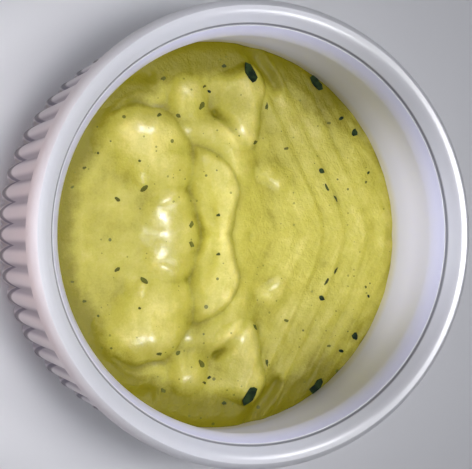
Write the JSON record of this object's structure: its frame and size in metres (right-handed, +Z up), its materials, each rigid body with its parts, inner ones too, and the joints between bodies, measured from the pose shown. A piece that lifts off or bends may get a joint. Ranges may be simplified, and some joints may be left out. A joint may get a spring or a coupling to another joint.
{
  "type": "bowl of creamy salsa",
  "caption": "Small white fluted porcelain ramekin, part filled with a thick, folded, creamy green salsa flecked with chopped herbs.",
  "frame": {"origin": "centre of the foot's underside, on the surface the bowl stands on", "axes": "+Z up through the bowl's middle; +X from the picture's near side of the bowl to its far side; +Y to the top of the picture"},
  "size_m": [0.09, 0.09, 0.043],
  "materials": {
    "porcelain": "clear gloss glaze",
    "salsa": "moist, softly glossy cream",
    "herb": "wet chopped leaf"
  },
  "bodies": {
    "root": {"bowl": "porcelain", "salsa": "salsa"}
  },
  "joints": []
}
